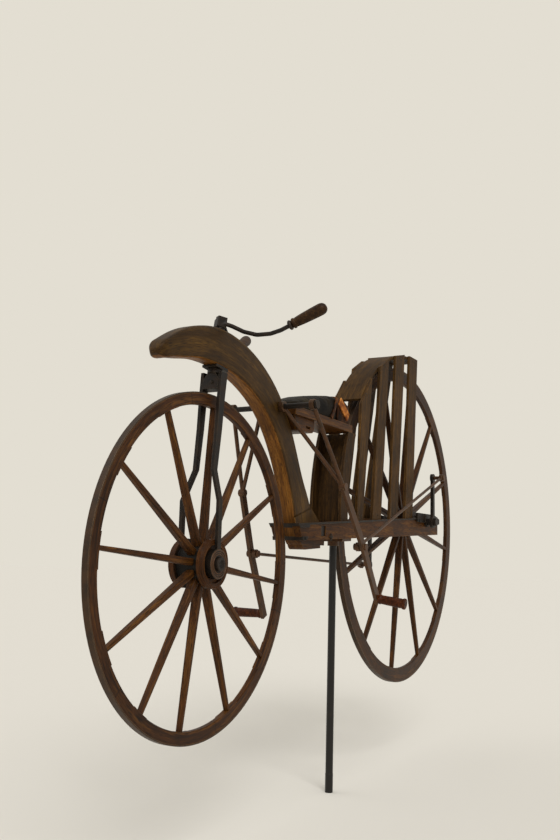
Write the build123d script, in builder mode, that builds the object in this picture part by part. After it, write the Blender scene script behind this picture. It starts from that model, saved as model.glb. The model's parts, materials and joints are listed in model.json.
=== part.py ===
from build123d import *

import os
from math import acos, asin, atan2, cos, degrees, hypot, radians, sin, sqrt

os.makedirs("parts", exist_ok=True)

# A treadle-driven wooden bicycle on its display post, in millimetres.
# X points forward, Y to the rider's left, Z up. The origin is the foot of the post on the floor.

# Wheels
inch = 25.4
front_wheel_d = 30 * inch
rear_wheel_d = 42 * inch
wheel_space = 316.6           # between the two tyres
hang = 240.0                  # lowest points of both wheels above the floor
post_to_tyre = 14.6           # how far the post's centre stands ahead of the rear tyre
tyre_t = 3.0                  # iron tyre
front_rim_w = 15.0
front_rim_depth = 26.0
rear_rim_w = 14.0
rear_rim_depth = 42.0
spoke_count = 12
# angle of each front spoke above forward, degrees: they stand unevenly
front_spokes_at = (4.4, 33.0, 64.6, 94.0, 121.6, 151.1, 187.3, 218.8, 248.6, 279.3, 303.7, 332.5)
rear_spoke_phase = 9.5        # angle of the first rear spoke above forward, degrees
# a spoke's width in the wheel's plane and its thickness across, at the hub and then at the rim
front_spoke_size = (16.0, 21.0, 9.5, 12.5)
rear_spoke_size = (17.0, 24.0, 12.5, 13.0)
spoke_edge_share = 0.25       # rounding of a spoke's edges for its width
spoke_root = 3.0              # start of a spoke inside the barrel, cut off again
stop_chamfer = 2.5
stop_chamfer_share = 0.62     # chamfered part of each space between two spokes
chamfer_overcut = 1.0

# Front hub and its axle
front_axle_r = 9.0
front_barrel_r = 45.0
front_flange_r = 54.5
front_flange_t = 14.0
front_hub_half = 43.5
front_hub_y = -6.5            # middle of the hub and of the fork's ends, beside the rim's
flange_edge = 4.0             # chamfer of the flange's outer edge
flange_slope = 3.0            # run-out from the flange to the barrel
hub_recess_r = 41.0
hub_recess_draft = 3.0
hub_recess_depth = 7.0
axle_end_r = 16.0
axle_end_t = 8.0

# Fork and steering
blade_t = 8.0                 # across the machine
blade_eye_r = 33.0
blade_eye_gap = 1.5           # eye to the floor of the hub's recess
blade_hub_gap = 1.5           # hub's rim to the blade
blade_crown_y = 20.5          # inner face of a blade beside the crown
# height above the front axle, centre ahead of the axle, depth of the blade
blade_stations = (
    (435.0, -24.0, 25.0),
    (371.0, -17.0, 22.0),
    (301.0, -12.0, 19.0),
    (208.0, -1.0, 15.0),
    (139.0, 0.0, 14.0),
    (0.0, 0.0, 13.0),
)
blade_spread_top = 208.0      # above the axle, where the blades start to spread
blade_spread_bottom = 139.0
crown_length = 26.0
crown_height = 39.0
crown_shoulder_w = 11.0       # bevel of the crown's upper corners
crown_shoulder_h = 15.0
crown_above_tyre = 12.5
crown_back = 22.0             # crown's centre behind the front axle
rake = 7.2                    # steering axis leans back, degrees
stem_r = 11.0
collar_r = 17.0
thrust_plate_t = 5.0
thrust_plate_length = 48.0
thrust_plate_w = 40.0

# Rear hub, axle and cranks
rear_axle_r = 11.0
rear_hub_half = 50.0
rear_barrel_r = 47.0
rear_barrel_half = 21.0
rear_nose_r = 33.0
hub_band_t = 3.0
hub_band_w = 12.0
crank_throw = 150.0
crank_y = 110.0               # inner face of a crank
crank_t = 10.0
crank_w = 18.0
crank_taper = 2.0             # off each edge at the pin
crank_eye_r = 20.0
crank_pin_eye_r = 14.0
axle_nut_r = 13.0
axle_nut_t = 10.0

# Neck beam
beam_w = 44.0
beam_round = 8.0
nose_angle = 67.6             # start of the nose about the front axle, above forward
nose_upper_r = 31.0
nose_lower_r = 15.0
foot_rise = 1.9               # beam's last station above the rails' top, degrees about the front axle
# way along the beam from 0 at the nose to 1 at the rails, space over the tyre, depth of the beam
beam_stations = (
    (0.0, 84.0, 52.0),
    (0.062, 77.0, 62.0),
    (0.134, 74.0, 71.0),
    (0.216, 71.5, 83.0),
    (0.289, 70.0, 89.0),
    (0.433, 68.0, 91.0),
    (0.598, 62.0, 87.0),
    (0.763, 47.0, 80.0),
    (0.897, 38.0, 82.0),
    (1.0, 37.0, 101.0),
)
stem_station = 4              # row of the table where the stem passes
foot_flare = 12.0             # the back leaves the tyre's circle at the foot, degrees
foot_length = 145.0           # between the rails
foot_slant = 12.0             # the foot's top ends this much ahead of its lower edge

# Rails and what ties them to the foot
rail_slope = 0.072            # rise of the top edge for each millimetre backwards
rail_front_h = 44.0
rail_rear_h = 62.0
rail_front_t = 20.0
rail_rear_t = 30.0
rail_rear_y = 67.0            # inner face at the rear end
rail_overhang = 105.0         # behind the rear axle
rail_lead = 6.0               # rail ends ahead of the beam's foot
axle_drop = 15.0              # axle's centre below the rail's top edge
strap_t = 3.0
upper_strap_h = 11.0
upper_strap_edge = 4.0        # height at the sides, behind the part that holds the foot
upper_strap_wrap = 42.0       # length of that part
lower_strap_h = 10.0
lower_strap_return = 24.0
lower_strap_tail = 5.0        # height of its last half
key_w = 24.0
key_h = 28.0
key_inset = 1.5
key_ahead = 41.0              # of the foot's back end
foot_block_h = 26.0
foot_heel_h = 18.0            # at the block's stepped back end
foot_heel_length = 24.0
foot_block_length = 135.0
foot_block_back = 30.0        # its front behind the foot's front
foot_block_round = 18.0

# Bearings on the rails
bearing_plate_t = 7.0
bearing_plate_front = 85.0    # ahead of the axle
bearing_plate_low = 3.0       # below the axle
bearing_plate_high = 27.0     # above the axle
bearing_plate_flat = 60.0     # behind the axle the plate's top starts to fall
bearing_bush_r = 16.0
bearing_cap_half = 24.0
bearing_cap_t = 6.0
bearing_inner_end = 3.0       # past the rail's inner face

# Guard, slats and shield round the rear wheel
guard_gap = 32.0              # over the tyre
guard_t = 9.0
guard_w = 82.0
guard_start = 38.0            # degrees above forward
guard_end = 93.0
slat_t = 9.0
slat_top_gap = 43.0           # over the tyre
slat_inset = 4.0              # behind the rail's outer face
# shares of the wheel's radius ahead of its axle: front and back of a slat's foot, then of its top
slat_places = (
    (0.952, 0.872, 0.879, 0.722),
    (0.759, 0.632, 0.596, 0.456),
    (0.527, 0.403, 0.345, 0.187),
    (0.304, 0.178, 0.094, -0.051),
)
cheek_gap = 24.0              # over the tyre
cheek_w = 48.0
shield_gap = 30.0             # over the tyre
shield_t = 9.0

# Seat
seat_over_axle = 409.0        # top of the board above the front axle
seat_t = 22.0
seat_w = 100.0
seat_behind_axle = 338.0      # front edge behind the front axle
seat_to_tyre = 66.0           # back edge ahead of the rear tyre, at the board's height
bracket_set_back = 10.0       # behind the seat's front edge
bracket_length = 118.0
bracket_h = 35.0
bracket_w = 80.0
pad_w = 104.0
# way along the seat from 0 at its front to 1 at its back, height over the board
pad_points = ((0.008, 20.0), (0.259, 44.0), (0.646, 67.0), (0.75, 70.0), (0.85, 69.0), (0.93, 58.0),
              (0.975, 30.0))
pad_round = 6.0

# Treadles and rods
pivot_ahead = -301.0          # of the front axle
pivot_above = 401.0
pivot_r = 7.0
pivot_nut_r = 11.0
pivot_nut_t = 7.0
pivot_end_gap = 1.0           # lever's eye to the nut
lever_eye_r = 14.0
lever_eye_t = 12.0
lever_inner_y = 31.0
lever_outer_y = 118.0
lever_arm_r = 5.5
lever_joint = 236.0           # from the pivot down to where the two arms meet
lever_joint_y = 145.0
lever_joint_r = 10.0
lever_pin = 418.0             # from the pivot down to the rod's pin
lever_pin_y = 160.0
left_lever_length = 594.0
right_lever_length = 616.0
lever_foot_y = 163.0
lever_w = 22.0
lever_t = 9.0
lever_pin_r = 6.0
lever_pin_head_r = 9.0
lever_pin_head_t = 6.0
rod_length = 743.0
rod_r = 4.5
rod_y = 146.0
rod_eye_r = 12.0
rod_eye_t = 10.0
left_pedal_length = 78.0
right_pedal_length = 92.0
left_pedal_droop = 10.0       # outer end below square to the lever, degrees
right_pedal_droop = 0.0
pedal_root = 4.0              # start of the turned form inside the lever, cut off again
pedal_inner_r = 12.0
pedal_outer_r = 13.5
pedal_ring_r = 15.0
pedal_ring_w = 8.0

# Handlebar
bar_turn = -31.0              # turned against the wheel, degrees
bar_sweep = 47.75             # each arm from straight back, degrees
bar_block = 24.0
bar_block_h = 25.0
bar_block_gap = 7.0           # over the beam's top
bar_r = 5.0
bar_bend_r = 30.0
stem_nut_r = 10.0
stem_nut_t = 7.0
# along an arm from the stem, height over the block's middle
left_arm = ((6.0, -1.0), (29.0, -9.5), (60.0, -25.0), (92.0, -34.0), (125.0, -33.0), (150.0, -26.0))
right_arm = ((6.0, 0.5), (32.0, 0.5), (60.0, -13.0), (92.0, -29.0), (125.0, -33.0), (150.0, -26.0))
bar_rise = 25.0               # last straight of an arm, degrees
bar_straight = 20.0           # before the ferrule
bar_tang = 14.0               # inside the grip
ferrule_r = 11.0
ferrule_length = 11.0
grip_r = 14.0
grip_root_r = 9.0
grip_length = 88.0
grip_swell_at = 0.45          # share of the grip's length
grip_swell = 0.93             # share of its radius there

# Display post
post_foot_r = 11.0
post_foot_length = 50.0
post_r = 10.5
post_plate_t = 8.0
post_plate_length = 60.0
post_plate_back = 12.0        # behind the post's centre
post_socket_r = 16.0
post_socket_h = 14.0

# Fits
press = 0.05                  # radial, pieces of one body
run = 0.08                    # radial, pieces that turn on each other
face_gap = 0.4                # between faces that slide
pin_gap = 0.5                 # crank to the rod's crank pin

# Places that the sizes above give
front_r = front_wheel_d / 2
rear_r = rear_wheel_d / 2
wheelbase = front_r + wheel_space + rear_r
rear_axle = Vector(-rear_r - post_to_tyre, 0, hang + rear_r)
front_axle = Vector(rear_axle.X + wheelbase, 0, hang + front_r)
pivot = Vector(front_axle.X + pivot_ahead, 0, front_axle.Z + pivot_above)
seat_top = front_axle.Z + seat_over_axle
seat_under = seat_top - seat_t
seat_front = front_axle.X - seat_behind_axle
seat_back = rear_axle.X + sqrt(rear_r**2 - (seat_top - rear_axle.Z) ** 2) + seat_to_tyre
clear = wheelbase             # farther than any piece, for cuts right through


def save(piece, label):
    """Label a finished piece and write it to its own file."""
    piece.label = label
    export_step(piece, "parts/" + label + ".step")


def across(centre, y):
    """Plane square to the axles at a height y to the rider's left; its local Y points down."""
    return Plane(origin=(centre.X, y, centre.Z), x_dir=(1, 0, 0), z_dir=(0, 1, 0))


def polar(centre, angle, radius):
    """Point of the side view, at an angle above forward."""
    return (centre.X + radius * cos(radians(angle)), centre.Z + radius * sin(radians(angle)))


def heading(angle):
    return (cos(radians(angle)), sin(radians(angle)))


def prism(plane, points, amount, mode=Mode.ADD):
    """Straight-sided outline on a plane, given thickness both ways."""
    with BuildSketch(plane) as outline:
        with BuildLine():
            Polyline(*points, close=True)
        make_face()
    extrude(outline.sketch, amount=amount, both=True, mode=mode)


def rod_between(start, end, radius):
    """Round rod from one point to another."""
    with BuildSketch(Plane(origin=start, z_dir=end - start)) as section:
        Circle(radius)
    extrude(section.sketch, amount=(end - start).length)


# Wheels


def build_wheel(prefix, axle, radius, rim_w, rim_depth, spokes_at, barrel_r, spoke_size):
    """Iron tyre, felloe with stop chamfers and tapered spokes of one wheel."""
    felloe_r = radius - tyre_t
    inner_r = felloe_r - rim_depth
    chamfer_arc = 360 / len(spokes_at) * stop_chamfer_share
    section = Plane(origin=axle, x_dir=(0, 1, 0), z_dir=(1, 0, 0))
    turning = Axis(axle, (0, 1, 0))

    with BuildPart() as tyre:
        with BuildSketch(section):
            with Locations((0, radius - tyre_t / 2)):
                Rectangle(rim_w, tyre_t)
        revolve(axis=turning)
    save(tyre.part, prefix + "_tyre")

    with BuildPart() as stop_cut:
        with BuildSketch(Plane.YZ):
            for side in (-1, 1):
                face = side * rim_w / 2
                past = side * chamfer_overcut
                with BuildLine():
                    Polyline(
                        (face + past, inner_r - chamfer_overcut),
                        (face + past, inner_r + stop_chamfer),
                        (face, inner_r + stop_chamfer),
                        (face - side * stop_chamfer, inner_r),
                        (face - side * stop_chamfer, inner_r - chamfer_overcut),
                        close=True,
                    )
                make_face()
        revolve(axis=Axis.Y, revolution_arc=chamfer_arc)
    with BuildPart() as rim:
        with BuildSketch(section):
            with Locations((0, felloe_r - rim_depth / 2)):
                Rectangle(rim_w, rim_depth)
        revolve(axis=turning)
        for angle, following in zip(spokes_at, (*spokes_at[1:], spokes_at[0] + 360)):
            middle = (angle + following) / 2
            turn = Location(axle) * Location((0, 0, 0), (0, 90 - chamfer_arc / 2 - middle, 0))
            add(stop_cut.part.moved(turn), mode=Mode.SUBTRACT)
    save(rim.part, prefix + "_rim")

    root_w, root_t, tip_w, tip_t = spoke_size
    tip_r = sqrt(inner_r**2 - (tip_w / 2) ** 2)
    with BuildPart() as spoke:
        with BuildSketch(Plane.YZ.offset(barrel_r - spoke_root)):
            RectangleRounded(root_t, root_w, root_w * spoke_edge_share)
        with BuildSketch(Plane.YZ.offset(tip_r)):
            RectangleRounded(tip_t, tip_w, tip_w * spoke_edge_share)
        loft()
        with BuildSketch(Plane.XZ):
            Circle(barrel_r)
        extrude(amount=root_t, both=True, mode=Mode.SUBTRACT)
    with BuildPart() as spokes:
        for angle in spokes_at:
            turn = Location(axle) * Location((0, 0, 0), (0, -angle, 0))
            add(spoke.part.moved(turn))
    save(spokes.part, prefix + "_spokes")


rear_spokes_at = [rear_spoke_phase + 360 / spoke_count * number for number in range(spoke_count)]
build_wheel("front", front_axle, front_r, front_rim_w, front_rim_depth,
            front_spokes_at, front_barrel_r, front_spoke_size)
build_wheel("rear", rear_axle, rear_r, rear_rim_w, rear_rim_depth,
            rear_spokes_at, rear_barrel_r, rear_spoke_size)

hub_recess_y = front_hub_half - hub_recess_depth
hub_middle = front_axle + Vector(0, front_hub_y, 0)
with BuildPart() as front_hub:
    flange_start = front_hub_half - front_flange_t
    with BuildSketch(Plane(origin=hub_middle, x_dir=(0, 1, 0), z_dir=(1, 0, 0))):
        with BuildLine():
            Polyline(
                (0, front_axle_r + run),
                (hub_recess_y, front_axle_r + run),
                (hub_recess_y, hub_recess_r),
                (front_hub_half, hub_recess_r + hub_recess_draft),
                (front_hub_half, front_flange_r - flange_edge),
                (front_hub_half - flange_edge, front_flange_r),
                (flange_start, front_flange_r),
                (flange_start - flange_slope, front_barrel_r),
                (0, front_barrel_r),
                close=True,
            )
        make_face()
        mirror(about=Plane.YZ)
    revolve(axis=Axis(front_axle, (0, 1, 0)))
save(front_hub.part, "front_hub")

with BuildPart() as rear_hub:
    with BuildSketch(Plane(origin=rear_axle, x_dir=(0, 1, 0), z_dir=(1, 0, 0))):
        with BuildLine():
            Polyline(
                (0, rear_axle_r + press),
                (rear_hub_half, rear_axle_r + press),
                (rear_hub_half, rear_nose_r),
                (rear_hub_half - hub_band_w, rear_nose_r),
                (rear_barrel_half, rear_barrel_r),
                (0, rear_barrel_r),
                close=True,
            )
        make_face()
        mirror(about=Plane.YZ)
    revolve(axis=Axis(rear_axle, (0, 1, 0)))
save(rear_hub.part, "rear_hub")

with BuildPart() as rear_hub_bands:
    with BuildSketch(Plane(origin=rear_axle, x_dir=(0, 1, 0), z_dir=(1, 0, 0))):
        for side in (-1, 1):
            with Locations((side * (rear_hub_half - hub_band_w / 2), rear_nose_r + hub_band_t / 2)):
                Rectangle(hub_band_w, hub_band_t)
    revolve(axis=Axis(rear_axle, (0, 1, 0)))
save(rear_hub_bands.part, "rear_hub_bands")

# Rear axle and cranks

crank_outer_y = crank_y + crank_t
with BuildPart() as rear_axle_rod:
    with BuildSketch(across(rear_axle, 0)):
        Circle(rear_axle_r)
    extrude(amount=crank_outer_y, both=True)
    for side in (-1, 1):
        with BuildSketch(across(rear_axle, side * crank_outer_y)):
            Circle(axle_nut_r)
        extrude(amount=side * axle_nut_t)
save(rear_axle_rod.part, "rear_axle")

# name, side to the rider's left, crank up or down at rest, treadle lever, pedal and its droop
leg_rows = (
    ("left", 1, 1, left_lever_length, left_pedal_length, left_pedal_droop),
    ("right", -1, -1, right_lever_length, right_pedal_length, right_pedal_droop),
)
for name, side, up, lever_length, pedal_length, pedal_droop in leg_rows:
    with BuildPart() as crank:
        with BuildSketch(across(rear_axle, side * crank_y)):
            with BuildLine():
                Polyline(
                    (-crank_w / 2, 0),
                    (-crank_w / 2 + crank_taper, -up * crank_throw),
                    (crank_w / 2 - crank_taper, -up * crank_throw),
                    (crank_w / 2, 0),
                    close=True,
                )
            make_face()
            Circle(crank_eye_r)
            with Locations((0, -up * crank_throw)):
                Circle(crank_pin_eye_r)
            Circle(rear_axle_r + press, mode=Mode.SUBTRACT)
        extrude(amount=side * crank_t)
    save(crank.part, "crank_" + name)

# Outline of the neck beam and lines of the rails



def rail_top(x):
    return rear_axle.Z + axle_drop + rail_slope * (rear_axle.X - x)


foot_gap = beam_stations[-1][1]
foot_height = rail_top(front_axle.X - front_r - foot_gap) - front_axle.Z
foot_angle = 180 - foot_rise - degrees(asin(foot_height / (front_r + foot_gap)))
underside = []
back = []
for way, gap, depth in beam_stations:
    station_angle = nose_angle + way * (foot_angle - nose_angle)
    underside.append(polar(front_axle, station_angle, front_r + gap))
    back.append(polar(front_axle, station_angle, front_r + gap + depth))


def off_nose(point, forward, outward):
    """Point of the side view, this far ahead of a point of the nose and farther from the tyre."""
    along, out = heading(nose_angle - 90), heading(nose_angle)
    return (point[0] + along[0] * forward + out[0] * outward,
            point[1] + along[1] * forward + out[1] * outward)


def behind_front_tyre(z, gap):
    """Where a circle this far outside the front tyre passes the height z, behind the axle."""
    return front_axle.X - sqrt((front_r + gap) ** 2 - (front_axle.Z - z) ** 2)


rail_front_x = behind_front_tyre(rail_top(front_axle.X - front_r - foot_gap), foot_gap - rail_lead)
rail_rear_x = rear_axle.X - rail_overhang


def rail_share(x):
    """0 at the rail's front end, 1 at its rear end."""
    return (rail_front_x - x) / (rail_front_x - rail_rear_x)


def rail_bottom(x):
    return rail_top(x) - rail_front_h - (rail_rear_h - rail_front_h) * rail_share(x)


def rail_inner(x):
    return beam_w / 2 + (rail_rear_y - beam_w / 2) * rail_share(x)


def rail_outer(x):
    return rail_inner(x) + rail_front_t + (rail_rear_t - rail_front_t) * rail_share(x)


rail_low_x = behind_front_tyre(rail_bottom(rail_front_x), foot_gap - rail_lead)
foot_high_x = behind_front_tyre(rail_top(rail_front_x), foot_gap)
foot_low_x = behind_front_tyre(rail_bottom(rail_front_x), foot_gap)
foot_back_x = foot_low_x - foot_length
foot_front_top = (foot_high_x, rail_top(foot_high_x))
foot_front_low = (foot_low_x, rail_bottom(foot_low_x))
foot_back_low = (foot_back_x, rail_bottom(foot_back_x))
foot_back_top = (foot_back_x + foot_slant, rail_top(foot_back_x + foot_slant))
key_x = foot_back_x + key_ahead
key_z = (rail_top(key_x) + rail_bottom(key_x)) / 2

crown_centre = Vector(
    front_axle.X - crown_back, 0, front_axle.Z + front_r + crown_above_tyre + crown_height / 2
)
steering = Plane(
    origin=crown_centre,
    x_dir=(cos(radians(rake)), 0, sin(radians(rake))),
    z_dir=(-sin(radians(rake)), 0, cos(radians(rake))),
)
# distances from the crown's centre, up the steering axis
beam_gap_at_stem, beam_depth_at_stem = beam_stations[stem_station][1:]
beam_under = (beam_gap_at_stem - crown_above_tyre - crown_height / 2) / cos(radians(rake))
beam_over = beam_under + beam_depth_at_stem / cos(radians(rake))
thrust_under = beam_under - thrust_plate_t - thrust_plate_length / 2 * sin(radians(rake))
block_under = beam_over + bar_block_gap
block_over = block_under + bar_block_h

# Neck beam

with BuildSketch(Plane.XZ) as beam_outline:
    with BuildLine():
        Spline(*back, tangents=(heading(nose_angle + 90), heading(foot_angle + 90 - foot_flare)))
        Spline(*underside, tangents=(heading(nose_angle + 90), heading(foot_angle + 90)))
        upper_end = off_nose(back[0], nose_upper_r, -nose_upper_r)
        lower_end = off_nose(underside[0], nose_upper_r, nose_lower_r)
        lower_start = off_nose(underside[0], nose_upper_r - nose_lower_r, 0)
        TangentArc(back[0], upper_end, tangent=heading(nose_angle - 90))
        Line(upper_end, lower_end)
        TangentArc(lower_start, lower_end, tangent=heading(nose_angle - 90))
        Line(lower_start, underside[0])
        Line(back[-1], underside[-1])
    make_face()

with BuildPart() as foot_wedge:
    prism(Plane.XZ, (foot_front_top, foot_front_low, foot_back_low, foot_back_top), rail_rear_y)
    wedge = [(x, side * rail_inner(x)) for x, side in
             ((foot_back_x, -1), (rail_front_x, -1), (rail_front_x, 1), (foot_back_x, 1))]
    prism(Plane.XY, wedge, clear, Mode.INTERSECT)

with BuildPart() as neck_beam:
    extrude(beam_outline.sketch, amount=beam_w / 2, both=True)
    for face in (neck_beam.faces().sort_by(Axis.Y)[0], neck_beam.faces().sort_by(Axis.Y)[-1]):
        fillet(face.edges(), beam_round)
    foot = (underside[-1], foot_front_top, foot_front_low, foot_back_low, foot_back_top, back[-1])
    prism(Plane.XZ, foot, beam_w / 2)
    add(foot_wedge.part)
    with BuildSketch(steering):
        Circle(stem_r + run)
    extrude(amount=block_over, mode=Mode.SUBTRACT)
    with BuildSketch(across(pivot, 0)):
        Circle(pivot_r + press)
    extrude(amount=beam_w, both=True, mode=Mode.SUBTRACT)
    with Locations((key_x, 0, key_z)):
        Box(key_w, clear, key_h, mode=Mode.SUBTRACT)
save(neck_beam.part, "neck_beam")

# Rails, straps, key and foot block

past_front_x = rail_front_x + strap_t * 2
rail_side = (
    (rail_front_x, rail_top(rail_front_x)),
    (rail_low_x, rail_bottom(rail_low_x)),
    (rail_rear_x, rail_bottom(rail_rear_x)),
    (rail_rear_x, rail_top(rail_rear_x)),
)


def rail_envelope(extra):
    """Outer form of both rails together, grown by a plate's thickness in front and at the sides."""
    with BuildPart() as envelope:
        grown = [(x + extra if x > rail_rear_x else x, z) for x, z in rail_side]
        prism(Plane.XZ, grown, clear)
        plan = [(x, side * (rail_outer(x) + extra)) for x, side in
                ((rail_rear_x, -1), (past_front_x, -1), (past_front_x, 1), (rail_rear_x, 1))]
        prism(Plane.XY, plan, clear, Mode.INTERSECT)
    return envelope.part


for name, side in (("left", 1), ("right", -1)):
    with BuildPart() as rail:
        prism(Plane.XZ, rail_side, clear)
        plan = [(rail_rear_x, side * rail_inner(rail_rear_x)),
                (past_front_x, side * rail_inner(past_front_x)),
                (past_front_x, side * rail_outer(past_front_x)),
                (rail_rear_x, side * rail_outer(rail_rear_x))]
        prism(Plane.XY, plan, clear, Mode.INTERSECT)
        with BuildSketch(across(rear_axle, 0)):
            Circle(bearing_bush_r)
            with Locations((0, -bearing_cap_half)):
                Rectangle(bearing_cap_half * 2, bearing_cap_half * 2)
        extrude(amount=clear, both=True, mode=Mode.SUBTRACT)
        with Locations((key_x, 0, key_z)):
            Box(key_w, clear, key_h, mode=Mode.SUBTRACT)
    save(rail.part, "rail_" + name)

# label, distance below the rail's top, height, height behind the wrap, ends of wrap and strap
strap_rows = (
    ("upper_strap", 0.0, upper_strap_h, upper_strap_edge, rail_front_x - upper_strap_wrap,
     rear_axle.X + bearing_plate_front),
    ("lower_strap", rail_front_h - lower_strap_h, lower_strap_h, lower_strap_tail,
     rail_low_x - lower_strap_return / 2, rail_low_x - lower_strap_return),
)
for label, drop, height, edge_h, wrap_x, back_x in strap_rows:
    with BuildPart() as strap:
        add(rail_envelope(strap_t))
        add(rail_envelope(0), mode=Mode.SUBTRACT)
        band = (
            (past_front_x, rail_top(rail_front_x) - drop),
            (past_front_x, rail_top(rail_front_x) - drop - height),
            (rail_front_x, rail_top(rail_front_x) - drop - height),
            (wrap_x, rail_top(wrap_x) - drop - height),
            (wrap_x, rail_top(wrap_x) - drop - edge_h),
            (back_x, rail_top(back_x) - drop - edge_h),
            (back_x, rail_top(back_x) - drop),
            (rail_front_x, rail_top(rail_front_x) - drop),
        )
        prism(Plane.XZ, band, clear, Mode.INTERSECT)
    save(strap.part, label)

with BuildPart() as cross_key:
    with Locations((key_x, 0, key_z)):
        Box(key_w, 2 * (rail_outer(key_x + key_w / 2) - key_inset), key_h)
save(cross_key.part, "cross_key")

with BuildPart() as foot_block:
    block_front = foot_low_x - foot_block_back
    block_back = block_front - foot_block_length
    prism(Plane.XZ, (
        (block_front, rail_bottom(block_front)),
        (block_front, rail_bottom(block_front) - foot_block_h),
        (block_back + foot_heel_length, rail_bottom(block_back) - foot_block_h),
        (block_back + foot_heel_length, rail_bottom(block_back) - foot_heel_h),
        (block_back, rail_bottom(block_back) - foot_heel_h),
        (block_back, rail_bottom(block_back)),
    ), beam_w / 2)
    nose = foot_block.edges().filter_by(Axis.Y).group_by(Axis.X)[-1].sort_by(Axis.Z)[0]
    fillet(nose, foot_block_round)
save(foot_block.part, "foot_block")

# Bearings: a plate on the rail's outer face, a cap over its top and a housing let into it

for name, side in (("left", 1), ("right", -1)):
    axle_z = rear_axle.Z
    housing_start = rail_inner(rear_axle.X) - bearing_inner_end
    housing_end = rail_outer(rear_axle.X - bearing_cap_half) + bearing_plate_t
    with BuildPart() as bearing:
        grown = [(x, side * (rail_outer(x) + bearing_plate_t)) for x in
                 (rear_axle.X + bearing_plate_front, rail_rear_x)]
        flush = [(x, side * rail_outer(x)) for x in
                 (rail_rear_x, rear_axle.X + bearing_plate_front)]
        prism(Plane.XY, grown + flush, clear)
        prism(Plane.XZ, (
            (rear_axle.X + bearing_plate_front, axle_z - bearing_plate_low),
            (rear_axle.X + bearing_plate_front, axle_z + bearing_plate_high),
            (rear_axle.X - bearing_plate_flat, axle_z + bearing_plate_high),
            (rail_rear_x, axle_z + bearing_plate_high / 2),
            (rail_rear_x, axle_z - bearing_plate_low),
        ), clear, Mode.INTERSECT)
        with BuildSketch(across(rear_axle, side * housing_start)):
            Circle(bearing_bush_r)
            with Locations((0, -(axle_drop + bearing_cap_t) / 2)):
                Rectangle(bearing_cap_half * 2, axle_drop + bearing_cap_t)
        extrude(amount=side * (housing_end - housing_start))
        with BuildSketch(across(rear_axle, 0)):
            Circle(rear_axle_r + run)
        extrude(amount=side * clear, mode=Mode.SUBTRACT)
    save(bearing.part, "bearing_" + name)

# Guard over the rear wheel, its slats, and the shield behind the seat


def ring_piece(label, inner, thickness, region, inner_y, outer_y):
    """Part of a ring about the rear axle inside a region, between two distances from the middle."""
    with BuildPart() as piece:
        with BuildSketch(Plane.XZ):
            with Locations((rear_axle.X, rear_axle.Z)):
                Circle(inner + thickness)
                Circle(inner, mode=Mode.SUBTRACT)
            with BuildLine():
                Polyline(*region, close=True)
            make_face(mode=Mode.INTERSECT)
        extrude(amount=outer_y, both=True)
        if inner_y > 0:
            with Locations((rear_axle.X, 0, rear_axle.Z)):
                Box(clear * 2, inner_y * 2, clear * 2, mode=Mode.SUBTRACT)
    save(piece.part, label)


guard_inner = rear_r + guard_gap
axle_point = (rear_axle.X, rear_axle.Z)
guard_region = [axle_point] + [
    polar(rear_axle, angle, clear) for angle in (guard_start, (guard_start + guard_end) / 2, guard_end)
]
ring_piece("mudguard", guard_inner, guard_t, guard_region, 0, guard_w / 2)

shield_region = (
    (rear_axle.X, rail_top(rear_axle.X)),
    (rear_axle.X + clear, rail_top(rear_axle.X + clear)),
    (rear_axle.X + clear, seat_under),
    (rear_axle.X, seat_under),
)
ring_piece("wheel_shield", rear_r + shield_gap, shield_t, shield_region, 0, guard_w / 2)
ring_piece("shield_cheeks", rear_r + cheek_gap, cheek_w, shield_region, guard_w / 2, guard_w / 2 + slat_t)


def slat_top(ahead):
    return rear_axle.Z + sqrt((rear_r + slat_top_gap) ** 2 - ahead**2)


for name, side in (("left", 1), ("right", -1)):
    with BuildPart() as slats:
        for place in slat_places:
            foot_front, foot_rear, top_front, top_rear = [share * rear_r for share in place]
            foot_x = (rear_axle.X + foot_front, rear_axle.X + foot_rear)
            foot_y = rail_outer(foot_x[0]) - slat_inset
            low, high = rail_top(foot_x[0]), max(slat_top(top_front), slat_top(top_rear))
            with BuildPart() as slat:
                prism(Plane.XZ, (
                    (foot_x[0], rail_top(foot_x[0])),
                    (rear_axle.X + top_front, slat_top(top_front)),
                    (rear_axle.X + top_rear, slat_top(top_rear)),
                    (foot_x[1], rail_top(foot_x[1])),
                ), clear)
                prism(Plane.YZ, (
                    (side * foot_y, low),
                    (side * (guard_w / 2 + slat_t), high),
                    (side * guard_w / 2, high),
                    (side * (foot_y - slat_t), low),
                ), clear, Mode.INTERSECT)
    save(slats.part, "slats_" + name)

# Seat

with BuildPart() as seat_board:
    with Locations(((seat_front + seat_back) / 2, 0, seat_top - seat_t / 2)):
        Box(seat_front - seat_back, seat_w, seat_t)
    extrude(beam_outline.sketch, amount=beam_w / 2, both=True, mode=Mode.SUBTRACT)
save(seat_board.part, "seat_board")

with BuildPart() as seat_bracket:
    bracket_middle = seat_front - bracket_set_back - bracket_length / 2
    with Locations((bracket_middle, 0, seat_under - bracket_h / 2)):
        Box(bracket_length, bracket_w, bracket_h)
    extrude(beam_outline.sketch, amount=beam_w, both=True, mode=Mode.SUBTRACT)
save(seat_bracket.part, "seat_bracket")

with BuildPart() as seat_pad:
    crest = [(seat_front - way * (seat_front - seat_back), seat_top + height) for way, height in pad_points]
    prism(Plane.XZ, [(crest[-1][0], seat_top), (crest[0][0], seat_top)] + crest, pad_w / 2)
    fillet(seat_pad.edges().filter_by(Axis.Y).group_by(Axis.Z)[-1], pad_round)
save(seat_pad.part, "seat_pad")

# Thrust plate between the beam and the fork's collar

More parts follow.
